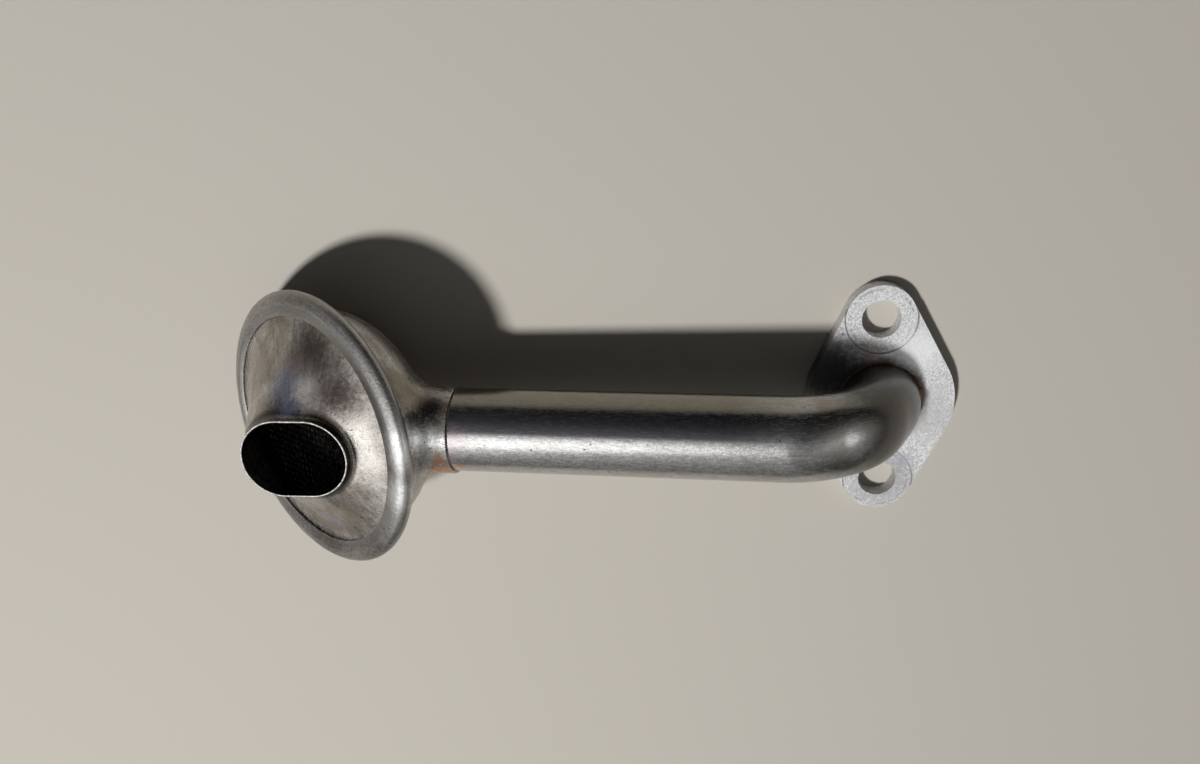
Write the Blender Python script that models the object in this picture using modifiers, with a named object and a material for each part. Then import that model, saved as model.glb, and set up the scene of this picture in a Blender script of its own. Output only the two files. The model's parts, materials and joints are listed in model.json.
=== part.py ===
"""Oil pickup tube: a strainer with an oval inlet snout, on a bent steel tube with a two-bolt flange.

Metres, +Z up. The origin is the centre of the flange's mating face, which lies in the plane
z = 0, and the tube rises from it. The tube's long run goes towards -X, sloping down a little.
The strainer's belly comes down to the same plane, and the snout opens straight up.

The strainer is modelled in a frame of its own: its origin is the middle of the hem that holds
it together, its +Z is the hem's axis on the inlet side, and its +X points at the raised side
of the hem. Its three pieces hang from an empty that carries this frame.
"""

import math

import bmesh
import bpy
from mathutils import Matrix, Vector

# Tube
TUBE_OD = 0.01905
TUBE_WALL = 0.0013
RISER_HEIGHT = 0.00393  # of the start of the bend over the mating face
BEND_RADIUS = 0.0238
RUN_SLOPE = math.radians(2.74)  # of the run, down towards the strainer
BEND_FLATTENING = 0.0021  # how far the outside of the bend has been pulled in
BEND_FULLNESS = 0.7  # how soon that starts, 1 being a plain half wave
SEAM_REACH = 0.0982  # from the riser's axis along the run to the mouth of the strainer's neck
TUBE_INSERTION = 0.0060  # of the tube into the neck
TUBE_RECESS = 0.0005  # of the tube's end behind the mating face
TUBE_SIDES = 32
BEND_STEPS = 16

# Flange
FLANGE_THICKNESS = 0.0047
BOLT_PITCH = 0.0408
BOLT_HOLE = 0.0090
LUG_RADIUS = 0.0081
WAIST_RADIUS = 0.0174  # of the arcs on either side of the tube
FLANGE_TURN = math.radians(2.7)  # of the bolt line, away from square to the run
SPOTFACE = 0.0166
SPOTFACE_DEPTH = 0.0003
FLANGE_EDGE = 0.0004
EDGE_STEPS = 2
ARC_STEPS = 12
HOLE_SIDES = 48

# Strainer
STRAINER_REACH = 0.1313  # from the riser's axis to the middle of the hem
STRAINER_TILT = math.radians(34.0)  # of the hem's axis from upright
RUN_OFFSET = 0.0026  # of the run's axis under the middle of the hem
HEM_RADIUS = 0.0329
LIP_WIDTH = 0.0056  # of the hem's folded edge, from the outside in
HOUSING_SHEET = 0.0005
COVER_SHEET = 0.0009
SCREEN_THICKNESS = 0.0010  # two crossed wires
BOWL_INSET = 0.0057  # of the bowl's wall from the outside of the hem
BOWL_WALL = 0.0035  # straight wall behind the hem
BOWL_DEPTH = 0.0170  # of the rounded bottom under that wall
BOWL_CORNER = 0.0008  # fillet where the bowl's wall meets the hem
NECK_BLEND = 0.0040  # how softly the bowl runs into the neck
HOOD_INSET = 0.0005  # of the hood's foot from the lip
MOUTH_RISE = 0.0169  # of the snout's cut edge over the middle of the hem
MOUTH_LENGTH = 0.0238
MOUTH_WIDTH = 0.0179
SNOUT_OFFSET = 0.0013  # of the snout's middle from the middle of the hem, towards the tube
SNOUT_HEIGHT = 0.0023  # of the collar round the mouth
SNOUT_FILLET = 0.0011
HOOD_FLARE = 0.35  # share of the way from the snout to the hem over which either end's slope carries
HOOD_SLOPE = math.radians(18)  # of the hood's edge out of the plane of the hem
SCREEN_PITCH = 0.0042
SCREEN_BAR = 0.0009
RING_SIDES = 48
BOWL_STEPS = 21
FOLD_STEPS = 6
FILLET_STEPS = 4
HOOD_STEPS = 7
CORNER_STEPS = 3

# Meshes
SMOOTH_ANGLE = math.radians(35)  # edges under it are shaded smooth
BEVEL_ANGLE = math.radians(50)  # edges over it are bevelled
WELD = 1e-6
SEARCH_STEPS = 40

# Fits
BRAZE_GAP = 0.00015  # between the tube and what is brazed round it
SEAT_GAP = 0.0003  # between the sheets that the hem clamps

# Sizes that follow
LIP_RADIUS = HEM_RADIUS - LIP_WIDTH
BOWL_RADIUS = HEM_RADIUS - BOWL_INSET
HOOD_RADIUS = LIP_RADIUS - HOOD_INSET  # where the hood meets the plane of the hem
TUBE_RADIUS = TUBE_OD / 2
NECK_RADIUS = TUBE_RADIUS + BRAZE_GAP + HOUSING_SHEET
HEM_THICKNESS = 2 * HOUSING_SHEET + COVER_SHEET + SCREEN_THICKNESS + 3 * SEAT_GAP
HEM_BACK = -HEM_THICKNESS / 2
SCREEN_BOTTOM = HEM_BACK + HOUSING_SHEET + SEAT_GAP
COVER_TOP = SCREEN_BOTTOM + SCREEN_THICKNESS + SEAT_GAP + COVER_SHEET
CLAMPED_RADIUS = HEM_RADIUS - HEM_THICKNESS / 2  # as far as the hem is flat
BEND_ANGLE = math.pi / 2 + RUN_SLOPE
BEND_CENTRE = Vector((-BEND_RADIUS, 0, RISER_HEIGHT))
RUN_HEIGHT = RISER_HEIGHT + BEND_RADIUS * math.tan(BEND_ANGLE / 2)  # over the riser's axis
STRAINER_HEIGHT = RUN_HEIGHT - STRAINER_REACH * math.tan(RUN_SLOPE) + RUN_OFFSET
MOUTH_HEIGHT = STRAINER_HEIGHT + MOUTH_RISE
RUN_DIRECTION = Vector((-math.cos(RUN_SLOPE), 0, -math.sin(RUN_SLOPE)))
RUN_START = Vector((0, 0, RUN_HEIGHT))
STRAINER_FRAME = Matrix.Translation((-STRAINER_REACH, 0, STRAINER_HEIGHT)) @ Matrix.Rotation(
    -STRAINER_TILT, 4, "Y"
)
Y_AXIS = Vector((0, 1, 0))


def clear_scene():
    for thing in list(bpy.data.objects):
        bpy.data.objects.remove(thing, do_unlink=True)


def new_collection(name):
    collection = bpy.data.collections.new(name)
    bpy.context.scene.collection.children.link(collection)
    return collection


def new_material(name, colour, roughness, metallic):
    material = bpy.data.materials.new(name)
    material.use_nodes = True
    surface = material.node_tree.nodes["Principled BSDF"]
    surface.inputs["Base Color"].default_value = (*colour, 1)
    surface.inputs["Roughness"].default_value = roughness
    surface.inputs["Metallic"].default_value = metallic
    material.diffuse_color = (*colour, 1)
    return material


def finish(thing, material):
    """Shades a finished piece smooth between its sharp edges and gives it its material."""
    thing.data.materials.append(material)
    thing.data.shade_smooth()
    thing.data.set_sharp_from_angle(angle=SMOOTH_ANGLE)
    return thing


def mesh_from_curve(curve_object, collection):
    """A curve's mesh with its loose caps welded on, in the curve's place."""
    evaluated = curve_object.evaluated_get(bpy.context.evaluated_depsgraph_get())
    mesh = bpy.data.meshes.new_from_object(evaluated)
    shape = bmesh.new()
    shape.from_mesh(mesh)
    bmesh.ops.remove_doubles(shape, verts=shape.verts, dist=WELD)
    bmesh.ops.recalc_face_normals(shape, faces=shape.faces)
    shape.to_mesh(mesh)
    shape.free()
    mesh.name = curve_object.name
    name = curve_object.name
    place = curve_object.matrix_world.copy()
    bpy.data.objects.remove(curve_object, do_unlink=True)
    thing = bpy.data.objects.new(name, mesh)
    thing.matrix_world = place
    collection.objects.link(thing)
    return thing


def flat_plate(name, outlines, thickness, collection):
    """A plate from z = 0 upwards, bounded by the first outline and holed by the others."""
    curve = bpy.data.curves.new(name, "CURVE")
    curve.dimensions = "2D"
    curve.fill_mode = "BOTH"
    curve.extrude = thickness / 2
    for outline in outlines:
        spline = curve.splines.new("POLY")
        spline.points.add(len(outline) - 1)
        for point, (x, y) in zip(spline.points, outline):
            point.co = (x, y, 0, 1)
        spline.use_cyclic_u = True
    thing = bpy.data.objects.new(name, curve)
    thing.location.z = thickness / 2
    collection.objects.link(thing)
    bpy.context.view_layer.update()
    return mesh_from_curve(thing, collection)


def cylinder(name, radius, low, high, place, collection):
    """A cutter that stands on the point place and reaches from low to high."""
    mesh = bpy.data.meshes.new(name)
    shape = bmesh.new()
    bmesh.ops.create_cone(
        shape, cap_ends=True, segments=HOLE_SIDES, radius1=radius, radius2=radius, depth=high - low
    )
    shape.to_mesh(mesh)
    shape.free()
    thing = bpy.data.objects.new(name, mesh)
    thing.location = (place[0], place[1], (low + high) / 2)
    collection.objects.link(thing)
    thing.hide_render = True
    thing.display_type = "WIRE"
    return thing


def cut(thing, cutter):
    modifier = thing.modifiers.new(cutter.name, "BOOLEAN")
    modifier.operation = "DIFFERENCE"
    modifier.solver = "EXACT"
    modifier.object = cutter


def arc(centre, radius, start, end, steps):
    for i in range(steps + 1):
        angle = start + (end - start) * i / steps
        yield centre[0] + radius * math.cos(angle), centre[1] + radius * math.sin(angle)


def skin(name, rings, collection):
    """An open surface through closed rings of points, the first and last ring being its edges."""
    mesh = bpy.data.meshes.new(name)
    shape = bmesh.new()
    rows = [[shape.verts.new(point) for point in ring] for ring in rings]
    for row, after in zip(rows, rows[1:]):
        for i in range(len(row)):
            j = (i + 1) % len(row)
            shape.faces.new((row[j], row[i], after[i], after[j]))
    shape.to_mesh(mesh)
    shape.free()
    thing = bpy.data.objects.new(name, mesh)
    collection.objects.link(thing)
    return thing


def thicken(thing, sheet, side):
    """Gives an open surface the thickness of its sheet, behind its faces when side is -1."""
    modifier = thing.modifiers.new("sheet", "SOLIDIFY")
    modifier.thickness = sheet
    modifier.offset = side
    modifier.use_even_offset = True
    modifier.use_quality_normals = True


# Flange


def flange_outline():
    """Two lugs and a round waist, joined by the straight lines that touch both."""
    half_pitch = BOLT_PITCH / 2
    touch = math.asin((WAIST_RADIUS - LUG_RADIUS) / half_pitch)
    half_turn = math.pi
    return [
        *arc((0, 0), WAIST_RADIUS, -touch, touch, ARC_STEPS),
        *arc((0, half_pitch), LUG_RADIUS, touch, half_turn - touch, ARC_STEPS),
        *arc((0, 0), WAIST_RADIUS, half_turn - touch, half_turn + touch, ARC_STEPS),
        *arc((0, -half_pitch), LUG_RADIUS, half_turn + touch, 2 * half_turn - touch, ARC_STEPS),
    ]


def make_flange(parts, cutters, material):
    """A two-bolt flange plate with a bore for the tube and a spotface round each bolt hole."""
    flange = flat_plate("flange", [flange_outline()], FLANGE_THICKNESS, parts)
    flange.rotation_euler.z = FLANGE_TURN
    edge = flange.modifiers.new("edge", "BEVEL")
    edge.width = FLANGE_EDGE
    edge.segments = EDGE_STEPS
    edge.limit_method = "ANGLE"
    edge.angle_limit = BEVEL_ANGLE
    past = FLANGE_THICKNESS
    bore = cylinder(
        "tube_bore",
        TUBE_RADIUS + BRAZE_GAP,
        -past,
        FLANGE_THICKNESS + past,
        (0, 0),
        cutters,
    )
    cut(flange, bore)
    turn = Matrix.Rotation(FLANGE_TURN, 2)
    for side, name in ((1, "upper"), (-1, "lower")):
        place = turn @ Vector((0, side * BOLT_PITCH / 2))
        hole = cylinder(
            name + "_bolt_hole", BOLT_HOLE / 2, -past, FLANGE_THICKNESS + past, place, cutters
        )
        cut(flange, hole)
        face = cylinder(
            name + "_spotface",
            SPOTFACE / 2,
            FLANGE_THICKNESS - SPOTFACE_DEPTH,
            FLANGE_THICKNESS + past,
            place,
            cutters,
        )
        cut(flange, face)
    return finish(flange, material)


# Tube


def tube_route():
    """The tube's axis from the flange, up the riser, round the bend and along the run."""
    route = [Vector((0, 0, TUBE_RECESS))]
    for i in range(BEND_STEPS + 1):
        angle = BEND_ANGLE * i / BEND_STEPS
        route.append(BEND_CENTRE + BEND_RADIUS * Vector((math.cos(angle), 0, math.sin(angle))))
    route.append(RUN_START + RUN_DIRECTION * SEAM_REACH)
    route.append(RUN_START + RUN_DIRECTION * (SEAM_REACH + TUBE_INSERTION))
    return route


def flatten_bend(mesh):
    """Pulls in the outside of the bend, most at its middle, as bending without a core does."""
    for vertex in mesh.vertices:
        arm = vertex.co - BEND_CENTRE
        arm.y = 0
        angle = math.atan2(arm.z, arm.x)
        outwards = (arm.length - BEND_RADIUS) / TUBE_RADIUS
        if outwards > 0 and 0 < angle < BEND_ANGLE:
            share = math.sin(math.pi * angle / BEND_ANGLE) ** BEND_FULLNESS
            vertex.co -= arm.normalized() * BEND_FLATTENING * share * outwards**2


def make_tube(parts, material):
    """A round tube bent once, open at both ends."""
    route = tube_route()
    curve = bpy.data.curves.new("pickup_tube", "CURVE")
    curve.dimensions = "3D"
    curve.bevel_depth = TUBE_RADIUS
    curve.bevel_resolution = (TUBE_SIDES - 4) // 2
    curve.use_fill_caps = False
    spline = curve.splines.new("POLY")
    spline.points.add(len(route) - 1)
    for point, place in zip(spline.points, route):
        point.co = (*place, 1)
    tube = bpy.data.objects.new("pickup_tube", curve)
    parts.objects.link(tube)
    bpy.context.view_layer.update()
    tube = mesh_from_curve(tube, parts)
    flatten_bend(tube.data)
    thicken(tube, TUBE_WALL, -1)
    return finish(tube, material)


# Strainer


def circle(radius, height):
    """A ring about the hem's axis, in the strainer's frame."""
    return [Vector((x, y, height)) for x, y in arc((0, 0), radius, 0, math.tau, RING_SIDES)][:-1]


def run_in_strainer():
    """A point on the run's axis and the direction from the strainer to the flange, in its frame."""
    to_strainer = STRAINER_FRAME.inverted()
    seam = to_strainer @ (RUN_START + RUN_DIRECTION * SEAM_REACH)
    return seam, (to_strainer.to_3x3() @ -RUN_DIRECTION).normalized()


def blended(first, second, reach):
    """The lesser of two distances, rounded off where they are nearly equal."""
    overlap = max(reach - abs(first - second), 0) / reach
    return min(first, second) - overlap * overlap * reach / 4


def outside_housing(point, seam, axis):
    """About how far a point is outside the bowl and its neck, negative inside them."""
    across = math.hypot(point.x, point.y)
    below = max(HEM_BACK - BOWL_WALL - point.z, 0)
    scaled = math.hypot(across / BOWL_RADIUS, below / BOWL_DEPTH)
    slope = math.hypot(across / BOWL_RADIUS**2, below / BOWL_DEPTH**2)
    from_bowl = scaled * (scaled - 1) / max(slope, 1e-9)
    arm = point - seam
    from_neck = (arm - axis * arm.dot(axis)).length - NECK_RADIUS
    return blended(from_bowl, from_neck, NECK_BLEND)


def ring_round_run(place, upwards, seam, axis):
    """The housing's outline in the plane through place that holds upwards and the Y axis."""
    ring = []
    for cosine, sine in arc((0, 0), 1, 0, math.tau, RING_SIDES):
        ray = upwards * cosine + Y_AXIS * sine
        near, far = 0.0, 2 * BOWL_RADIUS
        for _ in range(SEARCH_STEPS):
            middle = (near + far) / 2
            if outside_housing(place + ray * middle, seam, axis) < 0:
                near = middle
            else:
                far = middle
        ring.append(place + ray * near)
    return ring[:-1]


def bowl_rings():
    """Rings whose planes turn about a line beyond the hem's raised side, from the hem to the neck."""
    seam, axis = run_in_strainer()
    start = HEM_BACK - BOWL_CORNER
    up_neck = Vector((-axis.z, 0, axis.x))
    hinge = seam + up_neck * ((start - seam.z) / up_neck.z)
    turn = math.atan2(up_neck.z, up_neck.x)
    rings = []
    for i in range(1, BOWL_STEPS + 1):
        angle = turn * i / BOWL_STEPS
        upwards = Vector((math.cos(angle), 0, math.sin(angle)))
        level = Vector((-upwards.z, 0, upwards.x))
        along = (hinge - seam).dot(level) / axis.dot(level)
        rings.append(ring_round_run(seam + axis * along, upwards, seam, axis))
    return rings


def hem_rings():
    """The housing's rim: a lip folded over the cover's edge, a round fold and a flat back."""
    fold = HEM_THICKNESS / 2
    centre = HEM_RADIUS - fold
    rings = [circle(LIP_RADIUS, fold)]
    rings += [circle(r, z) for r, z in arc((centre, 0), fold, math.pi / 2, -math.pi / 2, FOLD_STEPS)]
    corner = (BOWL_RADIUS + BOWL_CORNER, HEM_BACK - BOWL_CORNER)
    rings += [circle(r, z) for r, z in arc(corner, BOWL_CORNER, math.pi / 2, math.pi, CORNER_STEPS)]
    return rings


def make_housing(parts, carrier, material):
    """The drawn upper shell: hem, bowl and neck in one sheet."""
    housing = skin("strainer_housing", hem_rings() + bowl_rings(), parts)
    thicken(housing, HOUSING_SHEET, -1)
    housing.parent = carrier
    return finish(housing, material)


def mouth_radius(angle):
    """From the middle of the flat oval to its edge."""
    end = MOUTH_WIDTH / 2
    straight = (MOUTH_LENGTH - MOUTH_WIDTH) / 2
    x, y = abs(math.cos(angle)), abs(math.sin(angle))
    if y * straight > x * end:
        return end / y
    return x * straight + math.sqrt(end**2 - (y * straight) ** 2)


def cover_columns():
    """Lines of points from the snout's mouth, round its fillet and down the hood to the hem."""
    to_strainer = STRAINER_FRAME.inverted()
    middle = Vector((SNOUT_OFFSET - STRAINER_REACH, 0, MOUTH_HEIGHT))
    collar = Vector((0, 0, SNOUT_HEIGHT))
    for i in range(RING_SIDES):
        angle = math.tau * i / RING_SIDES
        outwards = Vector((math.cos(angle), math.sin(angle), 0))
        mouth = middle + outwards * mouth_radius(angle)
        edge = to_strainer @ mouth
        foot = to_strainer @ (mouth - collar)
        rim = outwards * HOOD_RADIUS + Vector((0, 0, COVER_TOP))
        start = foot + (edge - foot).normalized() * SNOUT_FILLET
        outer = foot + (rim - foot).normalized() * SNOUT_FILLET
        points = [edge]
        for step in range(FILLET_STEPS + 1):
            t = step / FILLET_STEPS
            points.append(start.lerp(foot, t).lerp(foot.lerp(outer, t), t))
        yield points + list(hood_line(outer, rim, outwards))


def hood_line(outer, rim, outwards):
    """A line that leaves the snout straight for the hem and flares out to meet it."""
    handle = (rim - outer) * HOOD_FLARE
    slope = outwards * math.cos(HOOD_SLOPE) - Vector((0, 0, math.sin(HOOD_SLOPE)))
    first = outer + handle
    second = rim - slope * handle.length
    for step in range(1, HOOD_STEPS + 1):
        t = step / HOOD_STEPS
        one, two, three = outer.lerp(first, t), first.lerp(second, t), second.lerp(rim, t)
        yield one.lerp(two, t).lerp(two.lerp(three, t), t)


def make_cover(parts, carrier, material):
    """The drawn lower shell: a hood with the oval snout, and a flange under the hem's lip."""
    rings = [list(ring) for ring in zip(*cover_columns())]
    rings.append(circle(CLAMPED_RADIUS, COVER_TOP))
    cover = skin("inlet_cover", rings, parts)
    thicken(cover, COVER_SHEET, -1)
    cover.parent = carrier
    return finish(cover, material)


def screen_holes():
    """Square gaps on a grid, kept where they clear the clamped edge."""
    half = (SCREEN_PITCH - SCREEN_BAR) / 2
    reach = int(HOOD_RADIUS / SCREEN_PITCH)
    for i in range(-reach, reach + 1):
        for j in range(-reach, reach + 1):
            x, y = i * SCREEN_PITCH, j * SCREEN_PITCH
            if math.hypot(abs(x) + half, abs(y) + half) < HOOD_RADIUS - 2 * COVER_SHEET:
                yield [
                    (x - half, y - half),
                    (x - half, y + half),
                    (x + half, y + half),
                    (x + half, y - half),
                ]


def make_screen(parts, carrier, material):
    """The strainer's screen, clamped in the hem between the two shells."""
    rim = list(arc((0, 0), CLAMPED_RADIUS, 0, math.tau, RING_SIDES))[:-1]
    screen = flat_plate("screen", [rim, *screen_holes()], SCREEN_THICKNESS, parts)
    screen.location.z = SCREEN_BOTTOM + SCREEN_THICKNESS / 2
    screen.parent = carrier
    return finish(screen, material)


def main():
    clear_scene()
    parts = new_collection("oil_pickup_tube")
    cutters = new_collection("cutters")
    carrier = bpy.data.objects.new("strainer", None)
    carrier.matrix_world = STRAINER_FRAME
    carrier.empty_display_size = HEM_RADIUS
    parts.objects.link(carrier)
    sintered = new_material("sintered_steel", (0.56, 0.55, 0.54), 0.55, 0.85)
    tube_steel = new_material("tube_steel", (0.36, 0.35, 0.34), 0.28, 1.0)
    housing_steel = new_material("housing_steel", (0.40, 0.38, 0.35), 0.34, 1.0)
    cover_steel = new_material("cover_steel", (0.44, 0.42, 0.39), 0.36, 1.0)
    wire = new_material("screen_wire", (0.30, 0.29, 0.27), 0.45, 1.0)
    make_flange(parts, cutters, sintered)
    make_tube(parts, tube_steel)
    make_housing(parts, carrier, housing_steel)
    make_cover(parts, carrier, cover_steel)
    make_screen(parts, carrier, wire)


main()
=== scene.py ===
# %% [markdown]
# # Oil pickup tube
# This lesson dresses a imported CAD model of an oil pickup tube: a strainer of pressed steel, a bent
# steel tube and a two-bolt flange. Every surface is bare metal, so what makes it look real is small:
# edges that are rounded and worn, sheet that has a thickness, brushing that follows each form, and
# stains where the parts were brazed. The CAD pieces are the frame. Finer meshes with the same sizes
# are laid over them, and each one rides on the frame's only body.

# %% Setup
import json
import math

import bmesh
import bpy
import numpy as np
from mathutils import Matrix, Vector, noise

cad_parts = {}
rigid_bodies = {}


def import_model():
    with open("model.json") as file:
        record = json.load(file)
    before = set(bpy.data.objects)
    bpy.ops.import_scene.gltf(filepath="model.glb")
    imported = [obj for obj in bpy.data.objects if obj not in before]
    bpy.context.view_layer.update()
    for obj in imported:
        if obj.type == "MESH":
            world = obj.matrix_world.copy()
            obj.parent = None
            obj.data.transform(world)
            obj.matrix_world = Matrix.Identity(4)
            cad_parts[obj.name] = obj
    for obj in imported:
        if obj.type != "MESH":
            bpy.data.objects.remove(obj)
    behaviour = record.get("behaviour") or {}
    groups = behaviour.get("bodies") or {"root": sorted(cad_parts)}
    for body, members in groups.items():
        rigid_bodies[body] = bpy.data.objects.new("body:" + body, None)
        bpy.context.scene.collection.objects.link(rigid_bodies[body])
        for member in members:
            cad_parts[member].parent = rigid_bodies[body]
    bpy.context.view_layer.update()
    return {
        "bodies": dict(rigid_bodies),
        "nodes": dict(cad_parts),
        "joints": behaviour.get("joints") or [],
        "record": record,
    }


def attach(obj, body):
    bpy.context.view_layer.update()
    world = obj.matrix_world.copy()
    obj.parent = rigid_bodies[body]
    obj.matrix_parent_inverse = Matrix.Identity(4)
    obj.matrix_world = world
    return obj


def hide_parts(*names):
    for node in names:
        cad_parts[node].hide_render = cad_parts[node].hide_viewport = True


for thing in list(bpy.data.objects):
    bpy.data.objects.remove(thing, do_unlink=True)
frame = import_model()

# %% [markdown]
# ## Sizes
# The real part is drawn from a few numbers: the tube's diameter, the flange's bolt pitch, the
# strainer's radius and tilt. The same numbers are written here once, in metres, so that every fine
# mesh lands on its CAD solid. The strainer leans towards the tube, so it gets a frame of its own,
# whose +Z is the axis of its hem.

# %% Sizes of the tube and the flange
TUBE_RADIUS = 0.01905 / 2
TUBE_WALL = 0.0013
RISER_HEIGHT = 0.00393
BEND_RADIUS = 0.0238
RUN_SLOPE = math.radians(2.74)
BEND_FLATTENING = 0.0021
BEND_EASE = 0.30
SEAM_REACH = 0.0982
TUBE_INSERTION = 0.0060
TUBE_RECESS = 0.0005
FLANGE_THICKNESS = 0.0047
BOLT_PITCH = 0.0408
BOLT_HOLE = 0.0090
LUG_RADIUS = 0.0081
WAIST_RADIUS = 0.01738
FLANGE_TURN = math.radians(2.7)
SPOTFACE = 0.0166
SPOTFACE_DEPTH = 0.0003
print("tube diameter, mm:", 2000 * TUBE_RADIUS)

# %% Sizes of the strainer
STRAINER_REACH = 0.1313
STRAINER_TILT = math.radians(34.0)
RUN_OFFSET = 0.0026
HEM_RADIUS = 0.0329
HEM_THICKNESS = 0.0038
LIP_RADIUS = HEM_RADIUS - 0.0056
HOUSING_SHEET = 0.0005
COVER_TOP = 0.0011
BOWL_RADIUS = HEM_RADIUS - 0.0057
BOWL_WALL = 0.0035
BOWL_DEPTH = 0.0170
BOWL_CORNER = 0.0008
NECK_BLEND = 0.0040
MOUTH_RISE = 0.0169
MOUTH_LENGTH = 0.0238
MOUTH_WIDTH = 0.0179
SNOUT_OFFSET = 0.0013
SNOUT_HEIGHT = 0.0023
SNOUT_FILLET = 0.0011
HOOD_FLARE = 0.35
HOOD_SLOPE = math.radians(18)
NECK_RADIUS = TUBE_RADIUS + 0.00015 + HOUSING_SHEET
HEM_BACK = -HEM_THICKNESS / 2
CLAMPED_RADIUS = HEM_RADIUS - HEM_THICKNESS / 2
BEND_ANGLE = math.pi / 2 + RUN_SLOPE
BEND_CENTRE = Vector((-BEND_RADIUS, 0, RISER_HEIGHT))
RUN_HEIGHT = RISER_HEIGHT + BEND_RADIUS * math.tan(BEND_ANGLE / 2)
STRAINER_HEIGHT = RUN_HEIGHT - STRAINER_REACH * math.tan(RUN_SLOPE) + RUN_OFFSET
MOUTH_HEIGHT = STRAINER_HEIGHT + MOUTH_RISE
RUN_DIRECTION = Vector((-math.cos(RUN_SLOPE), 0, -math.sin(RUN_SLOPE)))
RUN_START = Vector((0, 0, RUN_HEIGHT))
STRAINER_FRAME = Matrix.Translation((-STRAINER_REACH, 0, STRAINER_HEIGHT)) @ Matrix.Rotation(
    -STRAINER_TILT, 4, "Y"
)
print("middle of the hem over the mating face, mm:", round(1000 * STRAINER_HEIGHT, 2))

# %% [markdown]
# ## Camera
# A camera that matches a photograph has two separate parts: where it stands, and how wide it sees.
# Both were found by fitting the part's outline, so the lens is given as a focal length for a sensor
# 36 mm wide, and the place and turn are typed in. Nothing is shifted or out of focus.

# %% Camera
SENSOR_WIDTH = 36
FOCAL_LENGTH = 27.044
CAMERA_PLACE = (-0.04556, 0.08016, 0.21123)
CAMERA_TURN = (-20.159, 5.381, -1.609)


def placed(name, data):
    """A new object in the scene."""
    thing = bpy.data.objects.new(name, data)
    bpy.context.scene.collection.objects.link(thing)
    return thing


camera = placed("camera", bpy.data.cameras.new("camera"))
bpy.context.scene.camera = camera
camera.data.sensor_width = SENSOR_WIDTH
camera.data.lens = FOCAL_LENGTH
camera.data.clip_start = 0.01
camera.location = CAMERA_PLACE
camera.rotation_euler = [math.radians(angle) for angle in CAMERA_TURN]
print("camera over the floor, mm:", round(1000 * camera.location.z))

# %% [markdown]
# ## Laying a skin through rings
# Pressed and bent sheet is easiest to describe as a row of closed rings, each a little further along
# the form. A loft joins each ring to the next with quads. It could also be done with a Screw or a
# curve, but the rings here change shape on the way, from round to oval, so they are written out.
# Every point also stores where it is on the sheet, in metres along and around it, so that brushing
# and scratches can follow the metal, and how worn it is.

# %% Loft helper
def write_attribute(mesh, name, kind, values):
    """Stores a number or a vector on each point of a mesh."""
    field = "vector" if kind == "FLOAT_VECTOR" else "value"
    stored = mesh.attributes.new(name, kind, "POINT")
    stored.data.foreach_set(field, np.ascontiguousarray(values, np.float32).ravel())


def lofted(name, rings, worn=None, closed=False):
    """A mesh object through rings of points. closed joins the last ring to the first."""
    points = np.array([[tuple(point) for point in ring] for ring in rings])
    rows, sides = points.shape[:2]
    starts = np.arange(rows if closed else rows - 1)[:, None] * sides
    a = (starts + np.arange(sides)).ravel()
    b = (starts + (np.arange(sides) + 1) % sides).ravel()
    wrap = rows * sides
    faces = np.column_stack([b, a, (a + sides) % wrap, (b + sides) % wrap])
    mesh = bpy.data.meshes.new(name)
    mesh.from_pydata(points.reshape(-1, 3).tolist(), [], faces.tolist())
    steps = np.linalg.norm(np.diff(points, axis=0), axis=2).mean(axis=1)
    turns = np.arange(sides) / sides * math.tau
    radius = np.linalg.norm(points - points.mean(axis=1, keepdims=True), axis=2).mean()
    grain = np.zeros((rows, sides, 3))
    grain[..., 0] = radius * np.cos(turns)
    grain[..., 1] = radius * np.sin(turns)
    grain[..., 2] = np.concatenate([[0], np.cumsum(steps)])[:, None]
    write_attribute(mesh, "grain", "FLOAT_VECTOR", grain)
    wear = np.zeros(rows) if worn is None else np.array(worn)
    write_attribute(mesh, "worn", "FLOAT", np.repeat(wear, sides))
    return placed(name, mesh)


print("a skin stores: grain, worn")

# %% Helpers that finish a mesh
def evaluated(thing):
    """A plain mesh of an object as its modifiers leave it."""
    bpy.context.view_layer.update()
    shape = thing.evaluated_get(bpy.context.evaluated_depsgraph_get())
    return bpy.data.meshes.new_from_object(shape)


def as_mesh(thing, name):
    """Puts a mesh object in the place of a curve object."""
    mesh = evaluated(thing)
    bpy.data.objects.remove(thing, do_unlink=True)
    return placed(name, mesh)


def settled(thing, place=None, sharp=math.radians(40)):
    """Applies the modifiers, puts the place into the mesh and shades it smooth between edges."""
    mesh = evaluated(thing)
    thing.modifiers.clear()
    thing.data = mesh
    if place is not None:
        mesh.transform(place)
    if sharp is not None:
        mesh.shade_smooth()
        mesh.set_sharp_from_angle(angle=sharp)
    print(thing.name, "faces:", len(mesh.polygons))


def eased(thing, width, segments, angle):
    """Rounds the edges that are sharper than an angle."""
    easing = thing.modifiers.new("eased edges", "BEVEL")
    easing.width = width
    easing.segments = segments
    easing.limit_method = "ANGLE"
    easing.angle_limit = angle
    return easing


def sheet_metal(thing, thickness, edge):
    """Gives an open skin the thickness of its sheet behind its faces, and eases the cut edges."""
    wall = thing.modifiers.new("sheet", "SOLIDIFY")
    wall.thickness = thickness
    wall.offset = -1
    wall.use_even_offset = True
    eased(thing, edge, 2, math.radians(60))


def arc(centre, radius, start, end, steps):
    """Points on an arc in the plane, both ends among them."""
    for i in range(steps + 1):
        angle = start + (end - start) * i / steps
        yield centre[0] + radius * math.cos(angle), centre[1] + radius * math.sin(angle)


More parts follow.
